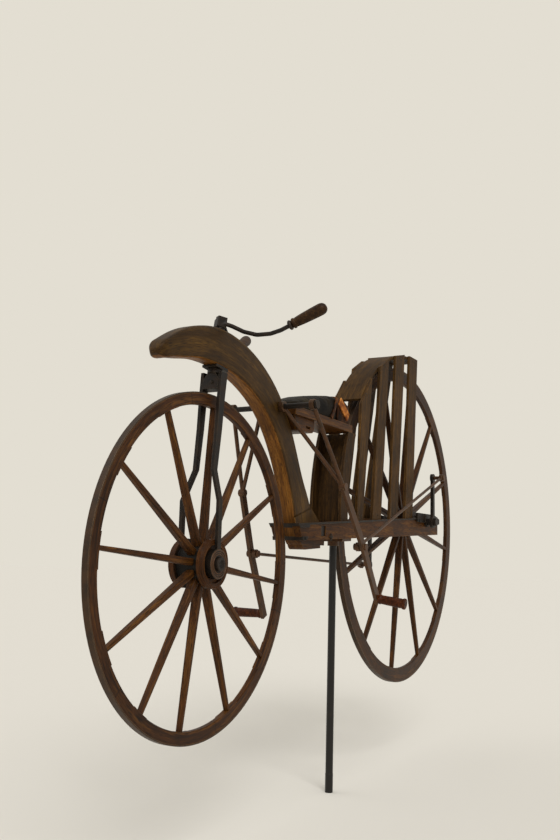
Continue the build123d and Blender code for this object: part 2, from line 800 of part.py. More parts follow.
with BuildPart() as thrust_plate:
    with BuildSketch(steering.offset(thrust_under)):
        Rectangle(thrust_plate_length, thrust_plate_w)
    extrude(amount=thrust_plate_length / 2)
    extrude(beam_outline.sketch, amount=beam_w, both=True, mode=Mode.SUBTRACT)
    with BuildSketch(steering):
        Circle(stem_r + run)
    extrude(amount=beam_over, mode=Mode.SUBTRACT)
save(thrust_plate.part, "thrust_plate")

# Treadle axle through the beam

lever_outer_face = lever_outer_y + lever_eye_t / 2
with BuildPart() as treadle_axle:
    with BuildSketch(across(pivot, 0)):
        Circle(pivot_r)
    extrude(amount=lever_outer_face + pivot_end_gap, both=True)
    for side in (-1, 1):
        with BuildSketch(across(pivot, side * (lever_outer_face + pivot_end_gap))):
            Circle(pivot_nut_r)
        extrude(amount=side * pivot_nut_t)
save(treadle_axle.part, "treadle_axle")

# Treadle levers, pedals and rods


def lever_direction(up):
    """Angle of a lever at rest, from the lengths of lever, rod and crank."""
    away_x, away_z = rear_axle.X - pivot.X, rear_axle.Z + up * crank_throw - pivot.Z
    span = hypot(away_x, away_z)
    corner = acos((lever_pin**2 + span**2 - rod_length**2) / (2 * lever_pin * span))
    return degrees(atan2(away_z, away_x) + corner)


for name, side, up, lever_length, pedal_length, pedal_droop in leg_rows:
    down_x, down_z = heading(lever_direction(up))
    down = Vector(down_x, 0, down_z)
    outward = Vector(0, side, 0)

    def on_lever(distance, y):
        return pivot + down * distance + outward * y

    with BuildPart() as lever:
        joint_point = on_lever(lever_joint, lever_joint_y)
        for eye_y in (lever_inner_y, lever_outer_y):
            rod_between(on_lever(0, eye_y - lever_eye_t / 2), on_lever(0, eye_y + lever_eye_t / 2),
                        lever_eye_r)
            rod_between(on_lever(0, eye_y), joint_point, lever_arm_r)
        rod_between(on_lever(lever_joint, lever_joint_y - lever_t),
                    on_lever(lever_joint, lever_joint_y + lever_t), lever_joint_r)
        edge = Plane(origin=pivot, x_dir=down, z_dir=down.cross(outward))
        half = lever_t / 2
        prism(edge, (
            (lever_joint, lever_joint_y - half),
            (lever_pin, lever_pin_y - half),
            (lever_length, lever_foot_y - half),
            (lever_length, lever_foot_y + half),
            (lever_pin, lever_pin_y + half),
            (lever_joint, lever_joint_y + half),
        ), lever_w / 2)
        inner_end = rod_y - rod_eye_t / 2 - face_gap
        rod_between(on_lever(lever_pin, inner_end), on_lever(lever_pin, lever_pin_y + half), lever_pin_r)
        rod_between(on_lever(lever_pin, inner_end - lever_pin_head_t), on_lever(lever_pin, inner_end),
                    lever_pin_head_r)
        rod_between(on_lever(lever_pin, rod_y + rod_eye_t / 2 + face_gap),
                    on_lever(lever_pin, lever_pin_y), lever_pin_head_r)
        rod_between(on_lever(lever_pin, lever_pin_y),
                    on_lever(lever_pin, lever_pin_y + half + lever_pin_head_t), lever_pin_head_r)
        with BuildSketch(across(pivot, 0)):
            Circle(pivot_r + run)
        extrude(amount=side * (lever_outer_face + lever_eye_t), mode=Mode.SUBTRACT)
    save(lever.part, "lever_" + name)

    pedal_start = on_lever(lever_length - lever_w / 2, lever_foot_y + half)
    pedal_way = outward * cos(radians(pedal_droop)) + down * sin(radians(pedal_droop))
    pedal_side = down * cos(radians(pedal_droop)) - outward * sin(radians(pedal_droop))
    with BuildPart() as pedal:
        with BuildSketch(Plane(origin=pedal_start, x_dir=pedal_way, z_dir=pedal_way.cross(pedal_side))):
            with BuildLine():
                Polyline(
                    (-pedal_root, 0),
                    (-pedal_root, pedal_inner_r),
                    (pedal_length - pedal_ring_w, pedal_outer_r),
                    (pedal_length - pedal_ring_w, pedal_ring_r),
                    (pedal_length, pedal_ring_r),
                    (pedal_length, 0),
                    close=True,
                )
            make_face()
        revolve(axis=Axis(pedal_start, pedal_way))
        split(bisect_by=Plane(origin=pedal_start, z_dir=outward), keep=Keep.TOP)
    save(pedal.part, "pedal_" + name)

    crank_pin = rear_axle + Vector(0, 0, up * crank_throw)
    pin_point = on_lever(lever_pin, rod_y)
    rod_end = Vector(crank_pin.X, side * rod_y, crank_pin.Z)
    with BuildPart() as rod:
        rod_between(pin_point, rod_end, rod_r)
        for point in (pin_point, rod_end):
            rod_between(point - outward * rod_eye_t / 2, point + outward * rod_eye_t / 2, rod_eye_r)
        rod_between(Vector(rod_end.X, side * (crank_outer_y + pin_gap), rod_end.Z), rod_end, lever_pin_r)
        rod_between(rod_end, rod_end + outward * (rod_eye_t / 2 + lever_pin_head_t), lever_pin_head_r)
        with BuildSketch(across(Vector(pin_point.X, 0, pin_point.Z), side * (rod_y - rod_eye_t))):
            Circle(lever_pin_r + run)
        extrude(amount=side * rod_eye_t * 2, mode=Mode.SUBTRACT)
    save(rod.part, "rod_" + name)

# Fork

blade_axle_y = front_hub_half + blade_hub_gap
# height above the axle, inner face of a blade, share of the hub's place beside the rim
blade_face = [(blade_stations[0][0], blade_crown_y, 0), (blade_spread_top, blade_crown_y, 0),
              (blade_spread_bottom, blade_axle_y, 1), (0, blade_axle_y, 1)]
for name, side in (("left", 1), ("right", -1)):
    with BuildPart() as blade:
        fore = [(front_axle.X + ahead + depth / 2, front_axle.Z + z) for z, ahead, depth in blade_stations]
        aft = [(front_axle.X + ahead - depth / 2, front_axle.Z + z) for z, ahead, depth in blade_stations]
        prism(Plane.XZ, fore + aft[::-1], clear)
        inside = [(side * y + beside * front_hub_y, front_axle.Z + z) for z, y, beside in blade_face]
        outside = [(y + side * blade_t, z) for y, z in inside]
        prism(Plane.YZ, inside + outside[::-1], clear, Mode.INTERSECT)
        eye_start = hub_middle + Vector(0, side * (hub_recess_y + blade_eye_gap), 0)
        eye_end = hub_middle + Vector(0, side * (blade_axle_y + blade_t), 0)
        rod_between(eye_start, eye_end, blade_eye_r)
        with BuildSketch(across(front_axle, 0)):
            Circle(front_axle_r + press)
        extrude(amount=side * clear, mode=Mode.SUBTRACT)
    save(blade.part, "blade_" + name)

with BuildPart() as front_axle_rod:
    axle_shoulder = blade_axle_y + blade_t
    with BuildSketch(across(front_axle, front_hub_y)):
        Circle(front_axle_r)
    extrude(amount=axle_shoulder, both=True)
    for side in (-1, 1):
        with BuildSketch(across(front_axle, front_hub_y + side * axle_shoulder)):
            Circle(axle_end_r)
        extrude(amount=side * axle_end_t)
save(front_axle_rod.part, "front_axle")

with BuildPart() as fork_crown:
    upper, shoulder = crown_height / 2, crown_height / 2 - crown_shoulder_h
    front_view = Plane(origin=crown_centre, x_dir=(0, 1, 0), z_dir=steering.x_dir)
    prism(front_view, (
        (-blade_crown_y, -upper),
        (blade_crown_y, -upper),
        (blade_crown_y, shoulder),
        (blade_crown_y - crown_shoulder_w, upper),
        (crown_shoulder_w - blade_crown_y, upper),
        (-blade_crown_y, shoulder),
    ), crown_length / 2)
    with BuildSketch(steering.offset(crown_height / 2)):
        Circle(collar_r)
    extrude(amount=thrust_under - face_gap - crown_height / 2)
    with BuildSketch(steering.offset(thrust_under - face_gap)):
        Circle(stem_r)
    extrude(amount=block_over - thrust_under + face_gap)
save(fork_crown.part, "fork_crown")

# Handlebar, turned against the wheel as it stands

bar_centre = steering.offset((block_under + block_over) / 2).origin
arm_ends = {}
with BuildPart() as handlebar:
    with BuildSketch(steering.offset(block_under).rotated((0, 0, bar_turn))):
        RectangleRounded(bar_block, bar_block, bar_block / 8)
    extrude(amount=bar_block_h)
    for name, side, arm in (("left", 1, left_arm), ("right", -1, right_arm)):
        out = heading(180 - side * bar_sweep + bar_turn)
        arm_plane = Plane(origin=bar_centre, x_dir=(out[0], out[1], 0), z_dir=(out[1], -out[0], 0))
        rise = heading(bar_rise)
        reach = bar_straight + ferrule_length + bar_tang
        last = (arm[-1][0] + rise[0] * reach, arm[-1][1] + rise[1] * reach)
        with BuildLine(arm_plane) as arm_path:
            FilletPolyline(*arm, last, radius=bar_bend_r)
        with BuildSketch(Plane(origin=arm_path.line @ 0, z_dir=arm_path.line % 0)):
            Circle(bar_r)
        sweep(path=arm_path.line)
        arm_ends[name] = (arm_path.line @ 1, arm_path.line % 1)
    with BuildSketch(steering):
        Circle(stem_r + press)
    extrude(amount=block_over * 2, mode=Mode.SUBTRACT)
save(handlebar.part, "handlebar")

with BuildPart() as stem_nut:
    with BuildSketch(steering.offset(block_over)):
        RegularPolygon(stem_nut_r, 6)
    extrude(amount=stem_nut_t)
save(stem_nut.part, "stem_nut")

with BuildPart() as ferrules:
    for end, direction in arm_ends.values():
        start = end - direction * (bar_tang + ferrule_length)
        with BuildSketch(Plane(origin=start, z_dir=direction)):
            Circle(ferrule_r)
            Circle(bar_r + press, mode=Mode.SUBTRACT)
        extrude(amount=ferrule_length)
save(ferrules.part, "ferrules")

for name, (end, direction) in arm_ends.items():
    start = end - direction * bar_tang
    with BuildPart() as grip:
        side_line = Vector(-direction.Y, direction.X, 0).normalized()
        with BuildSketch(Plane(origin=start, x_dir=direction, z_dir=side_line)):
            with BuildLine():
                Polyline((grip_length, 0), (bar_tang, 0), (bar_tang, bar_r + press),
                         (0, bar_r + press), (0, grip_root_r))
                ThreePointArc((0, grip_root_r), (grip_length * grip_swell_at, grip_r * grip_swell),
                              (grip_length - grip_r, grip_r))
                TangentArc((grip_length - grip_r, grip_r), (grip_length, 0), tangent=(1, 0))
            make_face()
        revolve(axis=Axis(start, direction))
    save(grip.part, "grip_" + name)

# Display post and the plate that carries the rails

plate_front, plate_rear = post_plate_length - post_plate_back, -post_plate_back
post_top = rail_bottom(0) - post_plate_t / 2
with BuildPart() as post_plate:
    prism(Plane.XZ, (
        (plate_front, rail_bottom(plate_front)),
        (plate_rear, rail_bottom(plate_rear)),
        (plate_rear, rail_bottom(plate_rear) - post_plate_t),
        (plate_front, rail_bottom(plate_front) - post_plate_t),
    ), rail_outer(plate_front) - slat_inset)
    with BuildSketch(Plane.XY.offset(rail_bottom(0) - post_plate_t - post_socket_h)):
        Circle(post_socket_r)
    extrude(amount=post_socket_h + post_plate_t / 2)
    with BuildSketch(Plane.XY):
        Circle(post_r + press)
    extrude(amount=post_top, mode=Mode.SUBTRACT)
save(post_plate.part, "post_plate")

with BuildPart() as post:
    with BuildSketch(Plane.XY):
        Circle(post_foot_r)
    extrude(amount=post_foot_length)
    with BuildSketch(Plane.XY.offset(post_foot_length)):
        Circle(post_r)
    extrude(amount=post_top - post_foot_length)
save(post.part, "post")
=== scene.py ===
import json
import math

import bmesh
import bpy
from mathutils import Matrix, Vector
from mathutils.bvhtree import BVHTree


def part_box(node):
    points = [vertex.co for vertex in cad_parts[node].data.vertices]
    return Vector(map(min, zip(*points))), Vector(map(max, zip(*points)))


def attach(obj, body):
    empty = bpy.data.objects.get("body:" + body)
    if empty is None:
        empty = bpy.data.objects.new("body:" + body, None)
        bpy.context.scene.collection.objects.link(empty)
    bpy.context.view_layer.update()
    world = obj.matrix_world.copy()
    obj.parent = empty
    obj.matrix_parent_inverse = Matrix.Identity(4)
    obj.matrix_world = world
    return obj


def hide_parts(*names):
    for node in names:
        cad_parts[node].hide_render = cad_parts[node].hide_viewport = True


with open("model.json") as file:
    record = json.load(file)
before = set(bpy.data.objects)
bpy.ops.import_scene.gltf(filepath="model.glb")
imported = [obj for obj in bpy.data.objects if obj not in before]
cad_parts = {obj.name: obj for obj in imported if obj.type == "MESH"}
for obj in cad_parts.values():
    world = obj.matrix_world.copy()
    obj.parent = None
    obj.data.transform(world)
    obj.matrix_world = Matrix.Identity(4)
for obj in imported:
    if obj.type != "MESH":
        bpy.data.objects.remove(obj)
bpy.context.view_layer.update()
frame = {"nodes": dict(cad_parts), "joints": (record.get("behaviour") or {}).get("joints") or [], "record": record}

nodes = frame["nodes"]

# Places in metres: X forward, Y to the rider's left, Z up, the origin at the post's foot
joint_at = {joint["name"]: Vector(joint["pos_m"]) for joint in frame["joints"]}
front_axle = joint_at["front_wheel_spin"]
rear_axle = joint_at["rear_wheel_spin"]
pivot = joint_at["treadle_left_swing"]
bodies = frame["record"]["behaviour"]["bodies"]
body_of = {name: body for body, names in bodies.items() for name in names}


# Camera, in the place from which the photograph was taken

camera_place = Vector((2.3032, 1.0824, 0.6358))
heading, rise, roll = -2.638, 0.159, 0.027  # radians
forward = Vector((math.cos(heading) * math.cos(rise), math.sin(heading) * math.cos(rise),
                  math.sin(rise)))
level = forward.cross(Vector((0, 0, 1))).normalized()
upright = level.cross(forward)
right = math.cos(roll) * level + math.sin(roll) * upright
up = math.cos(roll) * upright - math.sin(roll) * level
camera = bpy.data.objects.new("camera", bpy.data.cameras.new("camera"))
camera.data.sensor_width = 36
camera.data.lens = 37.12
camera_turn = Matrix((right, up, -forward)).transposed().to_4x4()
camera.matrix_world = Matrix.Translation(camera_place) @ camera_turn
bpy.context.scene.collection.objects.link(camera)
bpy.context.scene.camera = camera


# Materials


def colour(code):
    """Linear colour of an sRGB hex value."""
    parts = [int(code[start:start + 2], 16) / 255 for start in (0, 2, 4)]
    return (*(part / 12.92 if part <= 0.04045 else ((part + 0.055) / 1.055) ** 2.4
              for part in parts), 1.0)


def add(tree, kind, inputs=None, stops=(), **settings):
    """Add a node, set its properties and the stops of its ramp, and link or set its inputs."""
    made = tree.nodes.new("ShaderNode" + kind)
    for name, value in settings.items():
        setattr(made, name, value)
    if stops:
        elements = made.color_ramp.elements
        while len(elements) < len(stops):
            elements.new(0.5)
        for element, (place, shade) in zip(elements, stops):
            element.position = place
            element.color = colour(shade) if isinstance(shade, str) else (shade, shade, shade, 1.0)
    for name, value in (inputs or {}).items():
        socket = made.inputs[name]
        if isinstance(value, bpy.types.NodeSocket):
            tree.links.new(value, socket)
        else:
            socket.default_value = value
    return made


def new_material(name):
    material = bpy.data.materials.new(name)
    material.use_nodes = True
    tree = material.node_tree
    shader = tree.nodes["Principled BSDF"]
    return material, tree, shader


def per_metre(*millimetres):
    """Pattern scale whose features have these sizes."""
    return tuple(1000 / size for size in millimetres)


def round_axle(tree, centre):
    """Way round an axle in turns, way across the machine and distance from the axle."""
    place = add(tree, "TexCoord").outputs["Object"]
    away = add(tree, "VectorMath", {0: place, 1: tuple(centre)}, operation="SUBTRACT").outputs[0]
    split = add(tree, "SeparateXYZ", {0: away}).outputs
    angle = add(tree, "Math", {0: split["Z"], 1: split["X"]}, operation="ARCTAN2").outputs[0]
    turns = add(tree, "Math", {0: angle, 1: 2 * math.pi}, operation="DIVIDE").outputs[0]
    flat = add(tree, "CombineXYZ", {"X": split["X"], "Z": split["Z"]}).outputs[0]
    radius = add(tree, "VectorMath", {0: flat}, operation="LENGTH").outputs["Value"]
    return turns, split["Y"], radius


def grain_place(tree, centre=None, reach=None):
    """Coordinates whose first axis runs with the grain: straight, or round or away from an axle."""
    if centre is None:
        return add(tree, "TexCoord").outputs["Object"]
    turns, side, radius = round_axle(tree, centre)
    around = 2 * math.pi * (reach or 0.2)
    arc = add(tree, "Math", {0: turns, 1: around}, operation="MULTIPLY").outputs[0]
    first, last = (arc, radius) if reach else (radius, arc)
    return add(tree, "CombineXYZ", {"X": first, "Y": side, "Z": last}).outputs[0]


def edge_wear(tree, width):
    """High on edges that hands and dusters reach: where the rounded normal leaves the flat one."""
    rounded = add(tree, "Bevel", {"Radius": width}, samples=6).outputs[0]
    flat = add(tree, "NewGeometry").outputs["Normal"]
    same = add(tree, "VectorMath", {0: rounded, 1: flat}, operation="DOT_PRODUCT").outputs["Value"]
    away = add(tree, "Math", {0: 1.0, 1: same}, operation="SUBTRACT").outputs[0]
    return away, rounded


def wood(name, dark, mid, light, shine=0.42, centre=None, reach=None, lean=None, joints=None,
         painted_shade_barrel=None):
    """Old hardwood under darkened varnish: long pores, slow drift of colour, edges rubbed paler.

    lean: an upright grain's angle from the vertical. joints: number of felloes and the first
    joint's way in turns. painted_shade_barrel: half the width of a hub's middle, painted near
    black as shade.
    """
    material, tree, shader = new_material(name)
    place = grain_place(tree, centre, reach)
    if lean is not None:
        stood_up = (0, math.radians(90 + lean), 0)
        place = add(tree, "Mapping", {"Vector": place, "Rotation": stood_up}).outputs[0]
    # rings 9 mm apart and 160 mm long. Pores are 0.2 mm wide, too fine to show: drawn as 1.3 mm
    figure_at = add(tree, "Mapping", {"Vector": place, "Scale": per_metre(160, 9, 9)}).outputs[0]
    pores_at = add(tree, "Mapping", {"Vector": place, "Scale": per_metre(26, 1.3, 1.3)}).outputs[0]
    drift_at = add(tree, "TexCoord").outputs["Object"]
    figure = add(tree, "TexNoise", {"Vector": figure_at, "Scale": 1.0, "Detail": 5.0,
                                    "Roughness": 0.6, "Distortion": 0.6}).outputs["Fac"]
    pores = add(tree, "TexNoise", {"Vector": pores_at, "Scale": 1.0, "Detail": 2.0}).outputs["Fac"]
    drift = add(tree, "TexNoise", {"Vector": drift_at, "Scale": 1000 / 90,
                                   "Detail": 3.0}).outputs["Fac"]
    base = add(tree, "ValToRGB", {"Fac": figure},
               stops=[(0.28, dark), (0.52, mid), (0.78, light)]).outputs["Color"]
    in_pores = add(tree, "ValToRGB", {"Fac": pores},
                   stops=[(0.36, 1.0), (0.5, 0.0)]).outputs["Color"]
    pored = add(tree, "Mix", {"Factor": in_pores, "A": base, "B": colour(dark)},
                data_type="RGBA").outputs[2]
    dim = add(tree, "ValToRGB", {"Fac": drift}, stops=[(0.35, 0.6), (0.7, 1.0)]).outputs["Color"]
    drifted = add(tree, "Mix", {"Factor": 1.0, "A": pored, "B": dim}, data_type="RGBA",
                  blend_type="MULTIPLY").outputs[2]
    away, rounded = edge_wear(tree, 0.0025)
    broken = add(tree, "Math", {0: away, 1: drift}, operation="MULTIPLY").outputs[0]
    rubbed = add(tree, "ValToRGB", {"Fac": broken},
                 stops=[(0.02, 0.0), (0.14, 0.8)]).outputs["Color"]
    tint = add(tree, "Mix", {"Factor": rubbed, "A": drifted, "B": colour(light)},
               data_type="RGBA").outputs[2]
    height = pores
    if joints:
        # a joint between two felloes shows as a dark line 1.6 mm wide
        count, first = joints
        turns = round_axle(tree, centre)[0]
        shifted = add(tree, "Math", {0: turns, 1: first}, operation="SUBTRACT").outputs[0]
        felloes = add(tree, "Math", {0: shifted, 1: float(count)}, operation="MULTIPLY").outputs[0]
        to_joint = add(tree, "Math", {0: felloes, 1: 0.5}, operation="PINGPONG").outputs[0]
        half = 0.0008 * count / (2 * math.pi * reach)
        gap = add(tree, "ValToRGB", {"Fac": to_joint},
                  stops=[(0.0, 1.0), (half, 1.0), (half * 1.6, 0.0)]).outputs["Color"]
        tint = add(tree, "Mix", {"Factor": gap, "A": tint, "B": colour("0c0704")},
                   data_type="RGBA").outputs[2]
        height = add(tree, "Math", {0: pores, 1: gap}, operation="SUBTRACT").outputs[0]
    # painted shade: the hub's middle, out to the flanges' inner faces, near black as if in shade
    if painted_shade_barrel:
        side = round_axle(tree, centre)[1]
        apart = add(tree, "Math", {0: side}, operation="ABSOLUTE").outputs[0]
        in_painted_shade = add(tree, "ValToRGB", {"Fac": apart},
                     stops=[(painted_shade_barrel - 0.001, 1.0), (painted_shade_barrel + 0.001, 0.0)]).outputs["Color"]
        tint = add(tree, "Mix", {"Factor": in_painted_shade, "A": tint, "B": colour("17130f")},
                   data_type="RGBA").outputs[2]
    bump = add(tree, "Bump", {"Height": height, "Strength": 0.22, "Distance": 0.0006,
                              "Normal": rounded}).outputs[0]
    rough = add(tree, "MapRange", {"Value": figure, "To Min": shine - 0.05,
                                   "To Max": shine + 0.12}).outputs[0]
    for socket, value in (("Base Color", tint), ("Roughness", rough), ("Normal", bump)):
        tree.links.new(value, shader.inputs[socket])
    shader.inputs["IOR"].default_value = 1.5
    shader.inputs["Specular IOR Level"].default_value = 0.12
    return material


def iron(name, body, rust, bare, rust_share=0.5, rough=0.45, metallic=0.55):
    """Forged or rolled iron, handled for a century: hammer dents, brown patina, bright edges."""
    material, tree, shader = new_material(name)
    place = add(tree, "TexCoord").outputs["Object"]
    # hammer marks 16 mm wide, patches of patina 24 mm. Rust's grain is 0.3 mm: drawn as 1.6 mm
    dents = add(tree, "TexNoise", {"Vector": place, "Scale": 1000 / 16,
                                   "Detail": 2.0}).outputs["Fac"]
    blotch = add(tree, "TexNoise", {"Vector": place, "Scale": 1000 / 24, "Detail": 7.0,
                                    "Roughness": 0.65}).outputs["Fac"]
    grit = add(tree, "TexNoise", {"Vector": place, "Scale": 1000 / 1.6,
                                  "Detail": 2.0}).outputs["Fac"]
    rusted = add(tree, "ValToRGB", {"Fac": blotch}, stops=[
        (1.0 - rust_share - 0.12, 0.0), (1.0 - rust_share + 0.18, 1.0)]).outputs["Color"]
    base = add(tree, "Mix", {"Factor": rusted, "A": colour(body), "B": colour(rust)},
               data_type="RGBA").outputs[2]
    away, rounded = edge_wear(tree, 0.0016)
    broken = add(tree, "Math", {0: away, 1: blotch}, operation="MULTIPLY").outputs[0]
    rubbed = add(tree, "ValToRGB", {"Fac": broken},
                 stops=[(0.03, 0.0), (0.16, 0.75)]).outputs["Color"]
    worn = add(tree, "Mix", {"Factor": rubbed, "A": base, "B": colour(bare)},
               data_type="RGBA").outputs[2]
    hammered = add(tree, "Bump", {"Height": dents, "Strength": 0.25, "Distance": 0.0015,
                                  "Normal": rounded}).outputs[0]
    bump = add(tree, "Bump", {"Height": grit, "Strength": 0.18, "Distance": 0.0003,
                              "Normal": hammered}).outputs[0]
    roughness = add(tree, "MapRange", {"Value": blotch, "To Min": rough - 0.08,
                                       "To Max": rough + 0.2}).outputs[0]
    for socket, value in (("Base Color", worn), ("Roughness", roughness), ("Normal", bump)):
        tree.links.new(value, shader.inputs[socket])
    shader.inputs["Metallic"].default_value = metallic
    return material


def leather(name, dark, mid, worn, patch=60):
    """Saddle leather, dressed and sat on: pebbled grain, soft creases, high spots paler."""
    material, tree, shader = new_material(name)
    place = add(tree, "TexCoord").outputs["Object"]
    # creases 14 mm apart. The grain's pebbles are 0.8 mm wide: drawn as 2.4 mm, so that they show
    pebbles = add(tree, "TexVoronoi", {"Vector": place, "Scale": 1000 / 2.4}).outputs["Distance"]
    creases = add(tree, "TexNoise", {"Vector": place, "Scale": 1000 / 14, "Detail": 4.0,
                                     "Distortion": 0.4}).outputs["Fac"]
    drift = add(tree, "TexNoise", {"Vector": place, "Scale": 1000 / patch,
                                   "Detail": 4.0}).outputs["Fac"]
    base = add(tree, "ValToRGB", {"Fac": drift},
               stops=[(0.34, dark), (0.52, mid), (0.7, worn)]).outputs["Color"]
    creased = add(tree, "ValToRGB", {"Fac": creases},
                  stops=[(0.36, 0.8), (0.46, 0.0)]).outputs["Color"]
    tint = add(tree, "Mix", {"Factor": creased, "A": base, "B": colour(dark)},
               data_type="RGBA").outputs[2]
    deep = add(tree, "Bump", {"Height": creases, "Strength": 0.5, "Distance": 0.0016}).outputs[0]
    fine = add(tree, "Bump", {"Height": pebbles, "Strength": 0.3, "Distance": 0.0004,
                              "Normal": deep}).outputs[0]
    rough = add(tree, "MapRange", {"Value": drift, "To Min": 0.62, "To Max": 0.42}).outputs[0]
    for socket, value in (("Base Color", tint), ("Roughness", rough), ("Normal", fine)):
        tree.links.new(value, shader.inputs[socket])
    shader.inputs["IOR"].default_value = 1.5
    shader.inputs["Specular IOR Level"].default_value = 0.06
    return material


# the front hub stands 6.5 mm beside the middle of its rim
front_hub_middle = front_axle + Vector((0, -0.0065, 0))

# Ash felloes, sawn to the curve and varnished: brown grain round the wheel, six dark joints
front_wood = wood("ash_felloe_front", "251407", "4a2a10", "774e1f", centre=front_axle, reach=0.36,
                  joints=(6, 0.0514))
rear_wood = wood("ash_felloe_rear", "251407", "482a11", "744d21", centre=rear_axle, reach=0.51,
                 joints=(6, 0.068))
# Cleft ash spokes, drawn down by hand: grain out from the hub, a little redder than the rims
front_spoke_wood = wood("cleft_ash_spoke_front", "2c1a09", "543010", "815623", centre=front_axle)
rear_spoke_wood = wood("cleft_ash_spoke_rear", "281709", "4d2d11", "774e21", centre=rear_axle)
# Bent ash beam under dull varnish: olive-brown, its grain along the arch
beam_wood = wood("bent_ash_beam", "2f1e0a", "4d3514", "6c4e20", shine=0.44, centre=front_axle,
                 reach=0.45)
# The beam's underside, painted lighter as the light that falls on it from below: bright orange-brown streaks
underside_painted_light_wood = wood("ash_under_beam_painted_light", "4d2e10", "83531e", "a87230", shine=0.44,
                 centre=front_axle, reach=0.45)
# Sawn and planed ash of the rails and seat board: straight grain fore and aft, reddish
rail_wood = wood("sawn_ash_rail", "2d1909", "573312", "7c5320")
# Turned elm hubs: close dark grain round the axle, and on the front one the barrel and the
# flanges' inner faces painted near black as shade
front_hub_wood = wood("turned_elm_front_hub", "281608", "512d10", "764d23",
                      centre=front_hub_middle, reach=0.05, painted_shade_barrel=0.0302)
rear_hub_wood = wood("turned_elm_rear_hub", "1e1107", "39220e", "5b3a18", centre=rear_axle,
                     reach=0.05)
# Stained boards bent round the wheel and stained slats beside it: flat, dry olive-brown
board_wood = wood("stained_bent_board", "2d1d0b", "4d3516", "6c4d23", shine=0.58,
                  centre=rear_axle, reach=0.54)
shield_wood = wood("stained_shield_board", "27190a", "452e13", "63461f", shine=0.58, lean=0)
slat_wood = wood("stained_slat", "2e1e0c", "513716", "755223", shine=0.56, lean=11)
# Turned rosewood grips and beech pedals: smooth from hands and shoes, the pedals redder
grip_wood = wood("turned_rosewood_grip", "25160a", "422b16", "5c4222", shine=0.42)
pedal_wood = wood("turned_beech_pedal", "2d1407", "542810", "7c461e", shine=0.38)
# Wrought iron blacked in oil: near black, brown in the hollows, edges rubbed grey
black_iron = iron("blacked_wrought_iron", "171411", "2e2014", "665a46")
# Wrought iron gone brown: the levers, rods and eyes, warm and softly glossy
brown_iron = iron("browned_wrought_iron", "36281a", "563820", "8e724e", rust_share=0.6, rough=0.4)
# Iron tyres: rust-brown with edges worn bright on the road
tyre_iron = iron("worn_iron_tyre", "2c2116", "46301c", "947858", rust_share=0.55, rough=0.42,
                 metallic=0.6)
# Steel post under black lacquer: the smoothest dark surface, with a long soft highlight
post_iron = iron("black_lacquered_post", "161310", "2c2116", "584c3a", rust_share=0.3, rough=0.3,
                 metallic=0.3)
# Oiled iron collars on the handlebar: dark, a little glossier than the bar
collar_iron = iron("oiled_iron_collar", "1e1812", "342518", "6a5a44", rough=0.4, metallic=0.5)
# Dressed saddle leather: the pad nearly black and dull, the roll brown, its straps tan, the tan
# lightened to a bright orange as a painted highlight of warm light
black_leather = leather("black_saddle_leather", "0c0906", "18120a", "2c2415")
brown_leather = leather("brown_saddle_leather", "1c0f08", "42240f", "7a4a24", patch=30)
tan_leather_painted_highlight = leather("tan_saddle_leather_painted_highlight", "6a3714", "b06a2c", "d2924a", patch=16)

finish_of = {
    "front_rim": front_wood, "front_spokes": front_spoke_wood, "front_hub": front_hub_wood,
    "rear_rim": rear_wood, "rear_spokes": rear_spoke_wood, "rear_hub": rear_hub_wood,
    "front_tyre": tyre_iron, "rear_tyre": tyre_iron, "neck_beam": beam_wood,
    "rail_left": rail_wood, "rail_right": rail_wood, "foot_block": rail_wood,
    "seat_board": rail_wood, "seat_bracket": rail_wood, "seat_pad": black_leather,
    "mudguard": board_wood, "wheel_shield": shield_wood, "shield_cheeks": shield_wood,
    "slats_left": slat_wood, "slats_right": slat_wood, "ferrules": collar_iron,
    "grip_left": grip_wood, "grip_right": grip_wood, "pedal_left": pedal_wood,
    "pedal_right": pedal_wood, "lever_left": brown_iron, "lever_right": brown_iron,
    "rod_left": brown_iron, "rod_right": brown_iron, "post_plate": brown_iron, "post": post_iron,
}
for name, node in nodes.items():
    node.data.materials.clear()
    node.data.materials.append(finish_of.get(name, black_iron))


# Making pieces. Numbers given to these are in millimetres.


def metres(*millimetres):
    return Vector(millimetres) / 1000


def merged(name):
    """Merged copy of a CAD node, with flat areas joined up."""
    grid = bmesh.new()
    grid.from_mesh(nodes[name].data)
    bmesh.ops.remove_doubles(grid, verts=grid.verts, dist=2e-6)
    bmesh.ops.dissolve_limit(grid, angle_limit=math.radians(0.5), verts=grid.verts,
                             edges=grid.edges)
    return grid


def cut(grid, place, way, **settings):
    """Cut every face of a piece that a plane crosses."""
    bmesh.ops.bisect_plane(grid, geom=grid.verts[:] + grid.edges[:] + grid.faces[:], dist=1e-6,
                           plane_co=place, plane_no=way, **settings)


def round_off(grid, edges, offset, segments, **settings):
    """Round some edges of a piece by an offset in metres."""
    bmesh.ops.bevel(grid, geom=edges, offset=offset, affect="EDGES", segments=segments,
                    profile=0.5, material=-1, **settings)


def finished(grid, name, body, material, stands_for=(), sharp=35):
    """Turn a bmesh into a piece that rides on a body."""
    bmesh.ops.recalc_face_normals(grid, faces=grid.faces)
    mesh = bpy.data.meshes.new(name)
    grid.to_mesh(mesh)
    grid.free()
    mesh.materials.append(material)
    mesh.shade_smooth()
    mesh.set_sharp_from_angle(angle=math.radians(sharp))
    made = bpy.data.objects.new(name, mesh)
    bpy.context.scene.collection.objects.link(made)
    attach(made, body)
    if stands_for:
        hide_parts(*stands_for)
    return made


def stand_in(name, grid, sharp=35):
    """A piece that replaces one CAD node, with its body and finish."""
    return finished(grid, name + "_made", body_of[name], finish_of.get(name, black_iron),
                    (name,), sharp)


